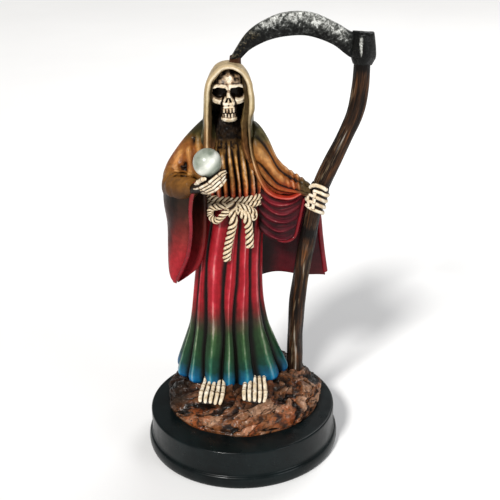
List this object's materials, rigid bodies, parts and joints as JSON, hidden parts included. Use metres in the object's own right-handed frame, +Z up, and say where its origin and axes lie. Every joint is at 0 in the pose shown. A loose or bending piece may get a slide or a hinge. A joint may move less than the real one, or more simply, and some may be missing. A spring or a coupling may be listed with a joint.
{
  "type": "santa muerte figure",
  "caption": "Robed skeleton figure with a hood, holding a pearl and a long curved scythe, on a rocky mound and a round black plinth.",
  "frame": {"origin": "centre of the plinth's underside", "axes": "+Z up, the figure faces -Y, +X is the side of the hand that holds the scythe"},
  "size_m": [0.1017, 0.088, 0.1981],
  "materials": {
    "plinth": "gloss black lacquer",
    "painted_resin": "hand painted cast resin: cream, ochre, red, green and blue cloth, bone, brown wood and black metal, lacquered",
    "pearl": "pearl bead"
  },
  "bodies": {
    "root": {"plinth": "plinth", "figure_casting": "painted_resin", "pearl": "pearl"}
  },
  "joints": []
}
